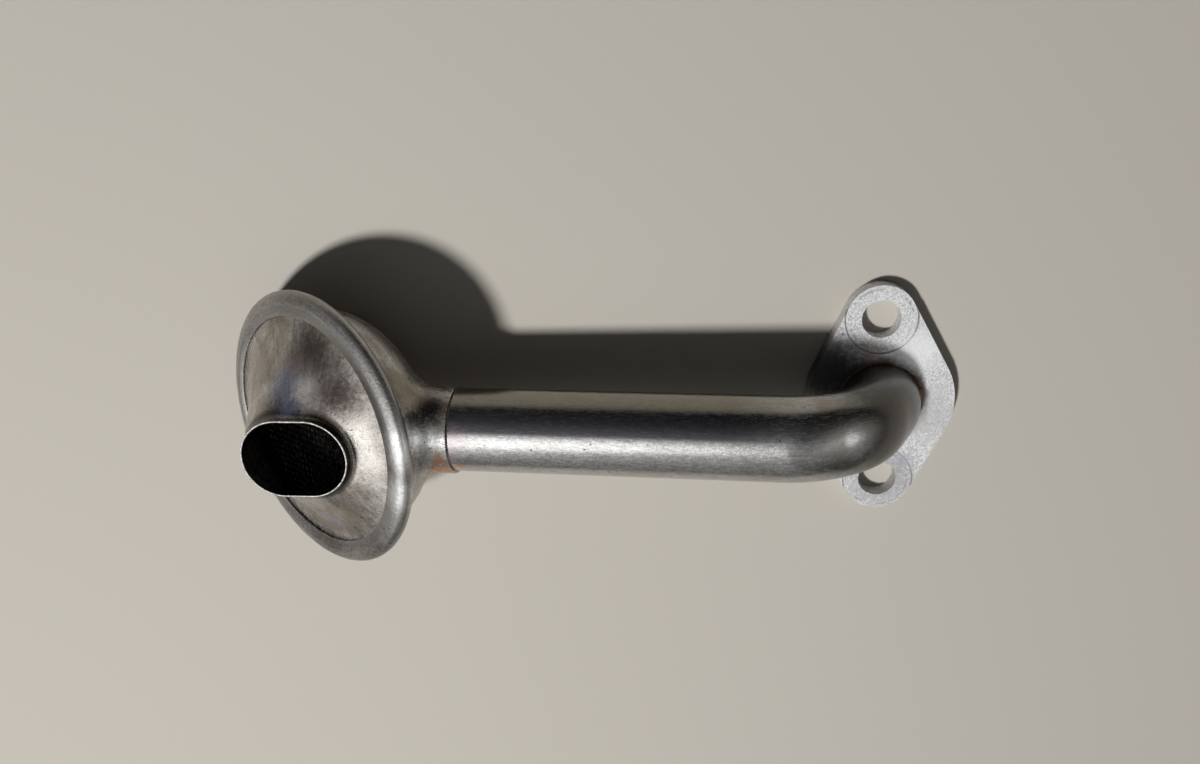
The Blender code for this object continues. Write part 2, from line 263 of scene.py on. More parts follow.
def circle(radius, height, sides=144):
    """A ring about the z axis."""
    return [Vector((x, y, height)) for x, y in arc((0, 0), radius, 0, math.tau, sides)][:-1]


print("points of a ring:", len(circle(1.0, 0.0)))

# %% [markdown]
# ## The bent tube
# The tube is drawn steel, bent once without a core, which pulls the outside of the bend a little
# flat. A tube follows a path, so Geometry Nodes fit it well: a circle is swept along a curve. The
# tree also stores the distance along the path and the place round the section, which the sweep
# carries onto the mesh. The flattening is then a small move of the points on the outside of the bend.

# %% The path of the tube
def tube_route(bend_steps=72, run_steps=48):
    """Points on the tube's axis: its start, the bend and the sloping run."""
    route = [Vector((0, 0, TUBE_RECESS))]
    for i in range(bend_steps + 1):
        angle = BEND_ANGLE * i / bend_steps
        arm = Vector((math.cos(angle), 0, math.sin(angle)))
        route.append(BEND_CENTRE + BEND_RADIUS * arm)
    first = (route[-1] - RUN_START).length
    last = SEAM_REACH + TUBE_INSERTION
    for i in range(1, run_steps + 1):
        route.append(RUN_START + RUN_DIRECTION * (first + (last - first) * i / run_steps))
    return route


def poly_curve(name, points, dimensions):
    """A curve object with straight pieces from point to point."""
    curve = bpy.data.curves.new(name, "CURVE")
    curve.dimensions = dimensions
    spline = curve.splines.new("POLY")
    spline.points.add(len(points) - 1)
    for point, place in zip(spline.points, points):
        point.co = (*place, 1)
    return placed(name, curve)


route = tube_route()
tube_path = poly_curve("tube_path", route, "3D")
print("tube path, mm:", round(1000 * sum((b - a).length for a, b in zip(route, route[1:])), 1))

# %% Helpers for node trees
def chain(tree, kind, links=None, **settings):
    """Adds a node. Its inputs get numbers, sockets, or the first outputs of other nodes."""
    node = tree.nodes.new(kind)
    for key, value in settings.items():
        setattr(node, key, value)
    for key, source in (links or {}).items():
        if isinstance(source, bpy.types.Node):
            source = source.outputs[0]
        if isinstance(source, bpy.types.NodeSocket):
            tree.links.new(source, node.inputs[key])
        else:
            node.inputs[key].default_value = source
    return node


def new_tree(name, inputs):
    """A geometry tree with the named inputs, a short way to add nodes to it, and its two ends."""
    tree = bpy.data.node_groups.new(name, "GeometryNodeTree")
    tree.interface.new_socket("Geometry", in_out="INPUT", socket_type="NodeSocketGeometry")
    for label, kind in inputs.items():
        tree.interface.new_socket(label, in_out="INPUT", socket_type="NodeSocket" + kind)
    tree.interface.new_socket("Geometry", in_out="OUTPUT", socket_type="NodeSocketGeometry")

    def add(kind, links=None, **settings):
        return chain(tree, "GeometryNode" + kind, links, **settings)

    return tree, add, tree.nodes.new("NodeGroupInput"), tree.nodes.new("NodeGroupOutput")


def run_tree(thing, tree, values):
    """Gives an object a tree, and sets its inputs by the identifiers of their sockets."""
    modifier = thing.modifiers.new(tree.name, "NODES")
    modifier.node_group = tree
    for item in tree.interface.items_tree:
        if item.item_type == "SOCKET" and item.in_out == "INPUT" and item.name in values:
            modifier[item.identifier] = values[item.name]


print("an input takes a number, a socket or a node")

# %% A tree that sweeps a circle along its path
sweep, add, given, made = new_tree(
    "swept_tube", {"Radius": "Float", "Sides": "Int", "Material": "Material"}
)
radius, sides, metal = (given.outputs[name] for name in ("Radius", "Sides", "Material"))
ring = add("CurvePrimitiveCircle", {"Resolution": sides, "Radius": radius})
marked_ring = add(
    "StoreNamedAttribute",
    {"Geometry": ring, "Name": "section", "Value": add("InputPosition")},
    data_type="FLOAT_VECTOR",
)
length = add("SplineParameter").outputs["Length"]
marked_path = add(
    "StoreNamedAttribute",
    {"Geometry": given.outputs["Geometry"], "Name": "along", "Value": length},
    data_type="FLOAT",
)
skin = add("CurveToMesh", {"Curve": marked_path, "Profile Curve": marked_ring})
whole = add("RealizeInstances", {"Geometry": skin})
clad = add("SetMaterial", {"Geometry": whole, "Material": metal})
sweep.links.new(clad.outputs["Geometry"], made.inputs["Geometry"])
print("sweep nodes:", len(sweep.nodes))

# %% Sweep the tube
TUBE_SIDES = 112
drawn_steel = bpy.data.materials.new("drawn_tube_steel")
run_tree(tube_path, sweep, {"Radius": TUBE_RADIUS, "Sides": TUBE_SIDES, "Material": drawn_steel})
bent_tube = as_mesh(tube_path, "bent_tube")
tube_mesh = bent_tube.data
sections = np.zeros((len(tube_mesh.vertices), 3), np.float32)
tube_mesh.attributes["section"].data.foreach_get("vector", sections.ravel())
reach = np.zeros(len(tube_mesh.vertices), np.float32)
tube_mesh.attributes["along"].data.foreach_get("value", reach)
print("run along, mm:", round(1000 * float(reach.max()), 1))

# %% The bend's flattening, the wall and the ends
WORN_END = 0.0012
TUBE_EDGE = 0.00025


def flatten_bend(mesh):
    """Pulls in the outside of the bend, most in its middle."""
    for vertex in mesh.vertices:
        arm = vertex.co - BEND_CENTRE
        arm.y = 0
        angle = math.atan2(arm.z, arm.x)
        outwards = (arm.length - BEND_RADIUS) / TUBE_RADIUS
        if outwards > 0 and 0 < angle < BEND_ANGLE:
            ease = min(1.0, min(angle, BEND_ANGLE - angle) / (BEND_EASE * BEND_ANGLE))
            share = ease * ease * (3 - 2 * ease)
            vertex.co -= arm.normalized() * BEND_FLATTENING * share * outwards**2


flatten_bend(tube_mesh)
grain = np.column_stack([sections[:, :2], reach])
write_attribute(tube_mesh, "grain", "FLOAT_VECTOR", grain)
write_attribute(tube_mesh, "worn", "FLOAT", np.clip((WORN_END - reach) / WORN_END, 0, 1))
sheet_metal(bent_tube, TUBE_WALL, TUBE_EDGE)
settled(bent_tube)
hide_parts("pickup_tube")
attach(bent_tube, "root")

# %% [markdown]
# ## The flange
# The flange is a plate of sintered steel with two lugs, a bore for the tube and a shallow spotface
# round each bolt hole. A closed 2D curve fills and thickens itself to a plate. The bore, the holes
# and the spotfaces are cut with Booleans, and a Bevel modifier then rounds every edge by the same
# small amount, so that their rims catch the light as well.

# %% Flange plate
def flange_outline(steps=40):
    """Two lugs joined by the waist, all arcs that touch."""
    half_pitch = BOLT_PITCH / 2
    touch = math.asin((WAIST_RADIUS - LUG_RADIUS) / half_pitch)
    return [
        *arc((0, 0), WAIST_RADIUS, -touch, touch, steps),
        *arc((0, half_pitch), LUG_RADIUS, touch, math.pi - touch, steps),
        *arc((0, 0), WAIST_RADIUS, math.pi - touch, math.pi + touch, steps),
        *arc((0, -half_pitch), LUG_RADIUS, math.pi + touch, math.tau - touch, steps),
    ]


outline = [(x, y, 0) for x, y in flange_outline()]
plate_curve = poly_curve("flange_outline", outline, "2D")
plate_curve.data.fill_mode = "BOTH"
plate_curve.data.extrude = FLANGE_THICKNESS / 2
plate_curve.data.splines[0].use_cyclic_u = True
plate = as_mesh(plate_curve, "flange_plate")
plate_mesh = plate.data
plate_mesh.transform(Matrix.Translation((0, 0, FLANGE_THICKNESS / 2)))
shape = bmesh.new()
shape.from_mesh(plate_mesh)
bmesh.ops.remove_doubles(shape, verts=shape.verts, dist=1e-6)
bmesh.ops.recalc_face_normals(shape, faces=shape.faces)
shape.to_mesh(plate_mesh)
shape.free()
plate_mesh.shade_smooth()
print("flange outline points:", len(outline))

# %% Bore, bolt holes and spotfaces
BORE_GAP = 0.00008
FLANGE_EDGE = 0.0003


def drum(name, radius, low, centre, sides=96):
    """A cylinder for cutting, from a height to well past the plate's face."""
    high = 2 * FLANGE_THICKNESS
    mesh = bpy.data.meshes.new(name)
    shape = bmesh.new()
    bmesh.ops.create_cone(
        shape, cap_ends=True, segments=sides, radius1=radius, radius2=radius, depth=high - low
    )
    bmesh.ops.translate(shape, verts=shape.verts, vec=(*centre, (low + high) / 2))
    shape.to_mesh(mesh)
    shape.free()
    mesh.shade_smooth()
    return placed(name, mesh)


below = -FLANGE_THICKNESS
ledge = FLANGE_THICKNESS - SPOTFACE_DEPTH
cutters = [drum("bore", TUBE_RADIUS + BORE_GAP, below, (0, 0), TUBE_SIDES)]
for side in (1, -1):
    centre = (0, side * BOLT_PITCH / 2)
    cutters.append(drum("bolt_hole", BOLT_HOLE / 2, below, centre))
    cutters.append(drum("spotface", SPOTFACE / 2, ledge, centre, 128))
for cutter in cutters:
    cutting = plate.modifiers.new(cutter.name, "BOOLEAN")
    cutting.operation = "DIFFERENCE"
    cutting.solver = "EXACT"
    cutting.object = cutter
eased(plate, FLANGE_EDGE, 3, math.radians(50)).harden_normals = True
settled(plate, Matrix.Rotation(FLANGE_TURN, 4, "Z"), sharp=None)
for cutter in cutters:
    bpy.data.objects.remove(cutter, do_unlink=True)
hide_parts("flange")
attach(plate, "root")

# %% [markdown]
# ## The strainer's housing
# The housing is one drawn sheet: a rim folded over the cover's edge, a short wall, a rounded bowl
# and a neck that swings towards the tube. The rim is a row of circles, but for its lip, which lies
# further out on one side. The bowl and neck are found by asking, along rays in planes that turn from
# the hem to the neck, where a squashed ball and a tube run softly into each other.

# %% Where the bowl's skin lies
def run_in_strainer():
    """A point on the run's axis and the direction from the strainer to the flange, in its frame."""
    to_strainer = STRAINER_FRAME.inverted()
    seam = to_strainer @ (RUN_START + RUN_DIRECTION * SEAM_REACH)
    return seam, (to_strainer.to_3x3() @ -RUN_DIRECTION).normalized()


def outside_housing(points, seam, axis):
    """About how far points are outside the bowl and its neck, negative inside them."""
    across = np.hypot(points[..., 0], points[..., 1])
    below = np.maximum(HEM_BACK - BOWL_WALL - points[..., 2], 0)
    scaled = np.hypot(across / BOWL_RADIUS, below / BOWL_DEPTH)
    slope = np.hypot(across / BOWL_RADIUS**2, below / BOWL_DEPTH**2)
    from_bowl = scaled * (scaled - 1) / np.maximum(slope, 1e-9)
    arm = points - np.array(seam)
    level = arm - (arm @ np.array(axis))[..., None] * np.array(axis)
    from_neck = np.linalg.norm(level, axis=-1) - NECK_RADIUS
    overlap = np.maximum(NECK_BLEND - np.abs(from_bowl - from_neck), 0) / NECK_BLEND
    return np.minimum(from_bowl, from_neck) - overlap**2 * NECK_BLEND / 4


def bowl_rings(steps=72, sides=144, halvings=34):
    """Rings whose planes turn about a line beyond the hem's raised side, from the hem to the neck."""
    seam, axis = run_in_strainer()
    start = HEM_BACK - BOWL_CORNER
    up_neck = Vector((-axis.z, 0, axis.x))
    hinge = seam + up_neck * ((start - seam.z) / up_neck.z)
    turn = math.atan2(up_neck.z, up_neck.x)
    turns = np.arange(sides) / sides * math.tau
    for i in range(1, steps + 1):
        angle = turn * i / steps
        upwards = Vector((math.cos(angle), 0, math.sin(angle)))
        level = Vector((-upwards.z, 0, upwards.x))
        place = np.array(seam + axis * ((hinge - seam).dot(level) / axis.dot(level)))
        rays = np.outer(np.cos(turns), upwards) + np.outer(np.sin(turns), (0, 1, 0))
        near, far = np.zeros(sides), np.full(sides, 2 * BOWL_RADIUS)
        for _ in range(halvings):
            middle = (near + far) / 2
            inside = outside_housing(place + rays * middle[:, None], seam, axis) < 0
            near, far = np.where(inside, middle, near), np.where(inside, far, middle)
        yield place + rays * near[:, None]


print("neck radius, mm:", round(1000 * NECK_RADIUS, 2))

# %% Hem, bowl and neck in one skin
HEM_CROWN = 0.0003
HEM_ROLL = 0.0030
LIP_SWELL = 0.0013
HOUSING_EDGE = 0.00012
LIP_WEAR = 1.0
FACE_WEAR = 0.1
CROWN_WEAR = 0.3
FOLD_WEAR = 0.2


def lip_swell(x):
    """How far the real lip lies further out, more so on the side away from the flange."""
    return LIP_SWELL * max(0.0, -x) ** 2


def hem_rings(face_steps=10, fold_steps=18, corner_steps=6):
    """Rings of the folded rim and how worn each is: most on the lip and the fold's crown."""
    fold = HEM_THICKNESS / 2
    centre = HEM_RADIUS - HEM_ROLL
    rows = []
    for i in range(face_steps):
        share = i / face_steps
        height = fold - HEM_CROWN * (1 - share) ** 2
        ring = []
        for corner in circle(1.0, 0.0):
            radius = (LIP_RADIUS + lip_swell(corner.x)) * (1 - share) + centre * share
            ring.append(Vector((corner.x * radius, corner.y * radius, height)))
        rows.append((ring, LIP_WEAR if i == 0 else FACE_WEAR))
    for r, z in arc((0, 0), 1.0, math.pi / 2, 0, fold_steps):
        rows.append((circle(centre + HEM_ROLL * r, fold * z), CROWN_WEAR))
    for r, z in list(arc((CLAMPED_RADIUS, 0), fold, 0, -math.pi / 2, fold_steps))[1:]:
        rows.append((circle(r, z), FOLD_WEAR))
    corner = (BOWL_RADIUS + BOWL_CORNER, HEM_BACK - BOWL_CORNER)
    for r, z in arc(corner, BOWL_CORNER, math.pi / 2, math.pi, corner_steps):
        rows.append((circle(r, z), 0.0))
    return rows


hem = hem_rings()
bowl = list(bowl_rings())
shell_rings = [ring for ring, _ in hem] + bowl
shell_wear = [wear for _, wear in hem] + [0.0] * (len(bowl) - 1) + [1.0]
strainer_shell = lofted("strainer_shell", shell_rings, shell_wear)
sheet_metal(strainer_shell, HOUSING_SHEET, HOUSING_EDGE)
settled(strainer_shell, STRAINER_FRAME)
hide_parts("strainer_housing")
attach(strainer_shell, "root")

# %% [markdown]
# ## The inlet hood
# The lower sheet rises from the hem to an oval collar that stands straight up, with a small fillet
# at its foot. Each line of the skin starts at the mouth, goes down the collar and round the fillet,
# leaves straight for the hem and flares out to meet it. That is a Bezier curve, worked out point by
# point so that its end slopes can be set.

# %% Lines of the hood
TIGHT_FOOT = LIP_RADIUS + 0.0006
FOOT_GAP = 0.0012
GAP_SIDE = math.radians(-80)


def mouth_radius(angle):
    """From the middle of the flat oval to its edge."""
    end = MOUTH_WIDTH / 2
    straight = (MOUTH_LENGTH - MOUTH_WIDTH) / 2
    x, y = abs(math.cos(angle)), abs(math.sin(angle))
    if y * straight > x * end:
        return end / y
    return x * straight + math.sqrt(end**2 - (y * straight) ** 2)


def hood_line(outer, rim, outwards, steps=32):
    """A line that leaves the collar straight for the hem and flares out to meet it."""
    handle = (rim - outer) * HOOD_FLARE
    slope = outwards * math.cos(HOOD_SLOPE) - Vector((0, 0, math.sin(HOOD_SLOPE)))
    first, second = outer + handle, rim - slope * handle.length
    for step in range(1, steps + 1):
        t = step / steps
        one, two, three = outer.lerp(first, t), first.lerp(second, t), second.lerp(rim, t)
        yield one.lerp(two, t).lerp(two.lerp(three, t), t)


def hood_columns(sides=160, collar_steps=5, fillet_steps=8):
    """Lines of the skin from the mouth's edge to the hood's foot, all round."""
    to_strainer = STRAINER_FRAME.inverted()
    middle = Vector((SNOUT_OFFSET - STRAINER_REACH, 0, MOUTH_HEIGHT))
    for i in range(sides):
        angle = math.tau * i / sides
        outwards = Vector((math.cos(angle), math.sin(angle), 0))
        mouth = middle + outwards * mouth_radius(angle)
        edge = to_strainer @ mouth
        foot = to_strainer @ (mouth - Vector((0, 0, SNOUT_HEIGHT)))
        gap = FOOT_GAP * max(0.0, math.cos(angle - GAP_SIDE)) ** 3
        rim = outwards * (TIGHT_FOOT + lip_swell(outwards.x) - gap)
        rim.z = COVER_TOP
        start = foot + (edge - foot).normalized() * SNOUT_FILLET
        outer = foot + (rim - foot).normalized() * SNOUT_FILLET
        points = [edge.lerp(start, step / collar_steps) for step in range(collar_steps)]
        for step in range(fillet_steps + 1):
            t = step / fillet_steps
            points.append(start.lerp(foot, t).lerp(foot.lerp(outer, t), t))
        yield points + list(hood_line(outer, rim, outwards))


print("widest gap at the hood's foot, mm:", 1000 * FOOT_GAP)

# %% Hood skin
HOOD_SHEET = 0.0004
HOOD_EDGE = 0.00014
hood_rings = [list(ring) for ring in zip(*hood_columns())]
hood_rings.append(circle(CLAMPED_RADIUS, COVER_TOP, len(hood_rings[0])))
hood_wear = [1.0] + [0.0] * (len(hood_rings) - 1)
inlet_hood = lofted("inlet_hood", hood_rings, hood_wear)
sheet_metal(inlet_hood, HOOD_SHEET, HOOD_EDGE)
settled(inlet_hood, STRAINER_FRAME)
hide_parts("inlet_cover")
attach(inlet_hood, "root")

# %% [markdown]
# ## The screen
# Woven wire cloth keeps swarf out of the pump. Every wire goes over one and under the next, so its
# height is a wave along its length, and the wave of its neighbour is half a turn later. Geometry
# Nodes repeat one straight wire on a row of points, and one rule for the height serves both ways:
# the product of two cosines, turned upside down for the wires that cross.

# %% Helpers for sums in a tree
def calc(operation, first, second=0.0):
    """Works on a socket and a second value. The Math node goes into the socket's own tree."""
    node = chain(first.id_data, "ShaderNodeMath", {0: first, 1: second}, operation=operation)
    return node.outputs[0]


def times(first, second):
    """The product of a socket and a second value."""
    return calc("MULTIPLY", first, second)


def plus(total, *others):
    """The sum of a socket and other values."""
    for value in others:
        total = calc("ADD", total, value)
    return total


def coordinate(vector, axis):
    """The X, Y or Z of a vector."""
    return chain(vector.id_data, "ShaderNodeSeparateXYZ", {0: vector}).outputs[axis]


print("sums in a tree: calc, times, plus, coordinate")

# %% A tree that lays rows of waved wires
weave, add, given, made = new_tree(
    "woven_wire_cloth",
    {"Radius": "Float", "Pitch": "Float", "Wire": "Float", "Material": "Material"},
)
radius, pitch, wire, metal = (
    given.outputs[name] for name in ("Radius", "Pitch", "Wire", "Material")
)
position = add("InputPosition").outputs[0]
x, y = (coordinate(position, axis) for axis in "XY")
half_rows = calc("FLOOR", calc("DIVIDE", radius, pitch))
first_row = times(times(half_rows, pitch), -1.0)
row_points = add(
    "MeshLine",
    {
        "Count": plus(times(half_rows, 2.0), 1.0),
        "Start Location": chain(weave, "ShaderNodeCombineXYZ", {"Y": first_row}),
        "Offset": chain(weave, "ShaderNodeCombineXYZ", {"Y": pitch}),
    },
)
chord = calc("SQRT", calc("SUBTRACT", calc("POWER", radius, 2.0), calc("POWER", y, 2.0)))
stretch = chain(weave, "ShaderNodeCombineXYZ", {"X": chord, "Y": 1.0, "Z": 1.0})
unit_line = add("CurvePrimitiveLine", {"Start": (-1, 0, 0), "End": (1, 0, 0)})
laid = add("InstanceOnPoints", {"Points": row_points, "Instance": unit_line, "Scale": stretch})
straight = add("RealizeInstances", {"Geometry": laid})
quarter = calc("DIVIDE", pitch, 4.0)
fine = add("ResampleCurve", {"Curve": straight, "Length": quarter}, mode="LENGTH")
waves = [calc("COSINE", calc("DIVIDE", times(side, math.pi), pitch)) for side in (x, y)]
height = times(times(*waves), times(wire, 0.5))
lift = chain(weave, "ShaderNodeCombineXYZ", {"Z": height})
waved = add("SetPosition", {"Geometry": fine, "Offset": lift})
print("weave nodes for one row:", len(weave.nodes))

# %% The same tree crosses the rows and gives the wires a body
crossing = add("Transform", {"Geometry": waved, "Rotation": (math.pi, 0, math.pi / 2)})
both = add("JoinGeometry")
for rows in (waved, crossing):
    weave.links.new(rows.outputs["Geometry"], both.inputs["Geometry"])
thread = add("CurvePrimitiveCircle", {"Resolution": 6, "Radius": times(wire, 0.5)})
wires = add("CurveToMesh", {"Curve": both, "Profile Curve": thread, "Fill Caps": True})
smooth = add("SetShadeSmooth", {"Geometry": wires})
solid = add("RealizeInstances", {"Geometry": smooth})
clad = add("SetMaterial", {"Geometry": solid, "Material": metal})
weave.links.new(clad.outputs["Geometry"], made.inputs["Geometry"])
print("weave nodes:", len(weave.nodes))

# %% Weave the screen
WIRE = 0.00045
WIRE_PITCH = 0.0016
screen_steel = bpy.data.materials.new("screen_wire_steel")
screen_cloth = placed("screen_cloth", bpy.data.meshes.new("screen_cloth"))
run_tree(
    screen_cloth,
    weave,
    {"Radius": CLAMPED_RADIUS, "Pitch": WIRE_PITCH, "Wire": WIRE, "Material": screen_steel},
)
settled(screen_cloth, STRAINER_FRAME)
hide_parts("screen")
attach(screen_cloth, "root")

# %% [markdown]
# ## Beads of brazing
# Where the tube enters the neck and the flange, brazing metal has run into the corner and set in an
# uneven bead. Each bead is a loft of small rings carried round the tube. Its thickness comes from a
# noise of the direction from the tube's axis, and it can be made fuller on one side, as gravity left
# it on the real joint.

# %% Bead helper
def bead(name, frame, radius, thick, full_side, fuller, sides=180, round_steps=10):
    """A bead round the z axis of a frame. full_side is the angle where it is fuller."""
    rings = []
    for i in range(sides):
        angle = math.tau * i / sides
        out = Vector((math.cos(angle), math.sin(angle), 0))
        slow, quick = noise.noise(out * 4.0), noise.noise(out * 17.0)
        lump = max(0.35, 0.75 + 0.6 * slow + 0.35 * quick)
        size = thick * lump * (1 + fuller * max(0.0, math.cos(angle - full_side)) ** 6)
        rings.append([
            out * (radius + size * math.cos(turn)) + Vector((0, 0, size * math.sin(turn)))
            for turn in (math.tau * k / round_steps for k in range(round_steps))
        ])
    thing = lofted(name, rings, closed=True)
    settled(thing, frame)
    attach(thing, "root")
    return thing


print("a bead is a ring of small rings")

# %% The two beads
NECK_BEAD = 0.00017
NECK_BEAD_RADIUS = TUBE_RADIUS + 0.00006
NECK_BEAD_REACH = SEAM_REACH - 0.0001
FLANGE_BEAD = 0.0003
FLANGE_BEAD_RADIUS = TUBE_RADIUS + 0.0001
seam_place = Matrix.Translation(RUN_START + RUN_DIRECTION * NECK_BEAD_REACH)
seam_turn = (-RUN_DIRECTION).to_track_quat("Z", "Y").to_matrix().to_4x4()
neck_braze = bead(
    "neck_braze",
    seam_place @ seam_turn,
    NECK_BEAD_RADIUS,
    NECK_BEAD,
    full_side=math.radians(-60),
    fuller=0.3,
)
flange_braze = bead(
    "flange_braze",
    Matrix.Translation((0, 0, FLANGE_THICKNESS)),
    FLANGE_BEAD_RADIUS,
    FLANGE_BEAD,
    full_side=math.radians(12),
    fuller=1.0,
)

# %% [markdown]
# # Finishes
# Bare steel has almost no colour of its own. What the eye reads is how it scatters reflections: fine
# lines left by drawing and brushing, a sparkle from tiny pits, cloudy patches of oxide, and a polish
# on the edges that get handled. Each finish below is a node tree on the piece's own Object
# coordinates or on its stored grain, so it stays put on the metal from any side.

# %% Helpers for finishes
def new_finish(name, metallic=1.0):
    """A bare metal: its material, its shader and the piece's Object coordinates."""
    material = bpy.data.materials.get(name) or bpy.data.materials.new(name)
    material.use_nodes = True
    shader = material.node_tree.nodes["Principled BSDF"]
    shader.inputs["Metallic"].default_value = metallic
    return material, shader, chain(material.node_tree, "ShaderNodeTexCoord").outputs["Object"]


def cloud(vector, scale, detail=2.0, roughness=0.5):
    """Noise around 0.5 with about scale lumps to a metre."""
    links = {"Vector": vector, "Scale": scale, "Detail": detail, "Roughness": roughness}
    return chain(vector.id_data, "ShaderNodeTexNoise", links).outputs["Fac"]


def between(value, low, high, to_low=0.0, to_high=1.0, kind="SMOOTHSTEP"):
    """Stretches a value's range from low..high to to_low..to_high."""
    links = {"Value": value, "From Min": low, "From Max": high, "To Min": to_low, "To Max": to_high}
    node = chain(value.id_data, "ShaderNodeMapRange", links, interpolation_type=kind)
    return node.outputs["Result"]


def blend(share, first, second):
    """Goes from the first colour to the second. A colour is a socket or three numbers."""
    links = {"Factor": share}
    for place, colour in ((6, first), (7, second)):
        links[place] = colour if isinstance(colour, bpy.types.NodeSocket) else (*colour, 1)
    return chain(share.id_data, "ShaderNodeMix", links, data_type="RGBA").outputs[2]


def vector_calc(operation, first, second, result="Vector"):
    """Works on two vectors. A single number counts as three equal ones."""
    links = {0: first, 1: second}
    node = chain(first.id_data, "ShaderNodeVectorMath", links, operation=operation)
    return node.outputs[result]


def finished(shader, colour, rough, heights):
    """Joins a colour, a roughness and one bump of (height, depth in metres) pairs to a shader."""
    tree = shader.id_data
    total = plus(*(times(height, depth * 1000) for height, depth in heights))
    bump = chain(tree, "ShaderNodeBump", {"Height": total, "Distance": 0.001, "Strength": 1.0})
    tree.links.new(colour, shader.inputs["Base Color"])
    tree.links.new(rough, shader.inputs["Roughness"])
    tree.links.new(bump.outputs["Normal"], shader.inputs["Normal"])


print("finish helpers ready")

# %% Helpers for spots, bands and layers
RAGGED_SCALE = 900.0


def near_spot(place, centre, radius, ragged):
    """1 at a spot on the piece, given in millimetres, and 0 past its ragged edge."""
    gap = vector_calc("DISTANCE", place, tuple(c / 1000 for c in centre), "Value")
    rough_gap = plus(gap, times(cloud(place, RAGGED_SCALE, 3), ragged * radius / 1000))
    outer = (1 + 0.5 * ragged) * radius / 1000
    return between(rough_gap, 0.35 * outer, outer, 1.0, 0.0)


def lay_stain_and_painted_light(colour, place, stain_and_painted_light_spots):
    """Lays spots on a colour, stains and painted light: a place and radius in millimetres, a tint,
    its share, how ragged.
    """
    for centre, radius, tint, share, ragged in stain_and_painted_light_spots:
        colour = blend(times(near_spot(place, centre, radius, ragged), share), colour, tint)
    return colour


def band(distance, start, full, fade, end, share):
    """The share between full and fade, and 0 before start and past end, all in millimetres."""
    rise = between(distance, start / 1000, full / 1000)
    return times(rise, between(distance, fade / 1000, end / 1000, share, 0.0))


def uneven(distance, lumps, width):
    """Moves a distance to and fro, so that a band gets a wavering edge."""
    return plus(distance, times(calc("SUBTRACT", lumps, 0.5), width))


def stretched(vector, rates, turn=(0, 0, 0)):
    """Noise coordinates that change at three rates, per metre, along three turned axes."""
    links = {"Vector": vector, "Scale": rates, "Rotation": turn}
    return chain(vector.id_data, "ShaderNodeMapping", links).outputs[0]


def layers(place, axis, across, along):
    """Noise coordinates that change slowly across an axis and quickly along it, per metre."""
    height = vector_calc("DOT_PRODUCT", place, axis, "Value")
    up = vector_calc("MULTIPLY", times(height, along), axis)
    return vector_calc("ADD", up, vector_calc("MULTIPLY", place, (across, across, across)))


print("a spot's ragged edge, lumps per metre:", RAGGED_SCALE)

# %% [markdown]
# ## Drawn sheet and tube
# The tube, the housing and the hood are the same kind of surface, drawn and lightly brushed steel,
# with different stains. One function makes all three: long streaks along the grain, thin scratches
# in two directions, a sparkle from pits, dark specks, and cloudy patches of oxide. What differs is
# passed in: the colours, which way the brushing runs, bands of tint and of painted reflection, and a
# list of stains and painted spots of shade and highlight, each at a place on the metal.

# %% Grooves and scratches
BELLY_START = (0.0075, 0.0095)
BELLY_CONTRAST = 0.35


def grooves(place, grain, along, streak, belly_axis):
    """Brushing along the grain. Past the hem, faint level lines run round a belly's axis."""
    brushing = cloud(stretched(grain, streak), 1.0, 4, 0.65)
    if not belly_axis:
        return brushing
    lines = cloud(layers(place, belly_axis, 120.0, 1500.0), 1.0, 3, 0.6)
    faint = plus(times(lines, BELLY_CONTRAST), 0.5 - BELLY_CONTRAST / 2)
    links = {"Factor": between(along, *BELLY_START), "A": brushing, "B": faint}
    return chain(place.id_data, "ShaderNodeMix", links, data_type="FLOAT").outputs[0]


def scratches(grain):
    """1 in thin scratches that lie in two directions."""
    found = []
    for rates, turn, start, full in (
        ((5200, 420, 420), (0.5, 0.4, 0.9), 0.63, 0.69),
        ((600, 6400, 900), (0.9, 0.2, 0.4), 0.64, 0.70),
    ):
        lines = cloud(stretched(grain, rates, turn), 1.0, 1, 0.5)
        found.append(between(lines, start, full))
    return calc("MAXIMUM", *found)


print("a belly's level lines start, mm along the sheet:", [1000 * d for d in BELLY_START])

# %% Brushed steel
POLISHED_AND_GLINT = (0.60, 0.59, 0.57)
SPECK = (0.07, 0.06, 0.05)
SPECK_DEPTH = 2.5e-5
# Where the bands of painted reflection on the tube's side begin along it.
PAINTED_REFLECTION_START = (0.030, 0.055)
END_WAVER = 0.012
# How much the edges of the painted reflection bands waver.
PAINTED_REFLECTION_WAVER = 0.0012
PATCH_SCALE = 110.0
SPECK_SCALE = 760.0
GRIT_SCALE = 1000.0
DOT_SCALE = 1500.0
SPARKLE_SCALE = 2600.0


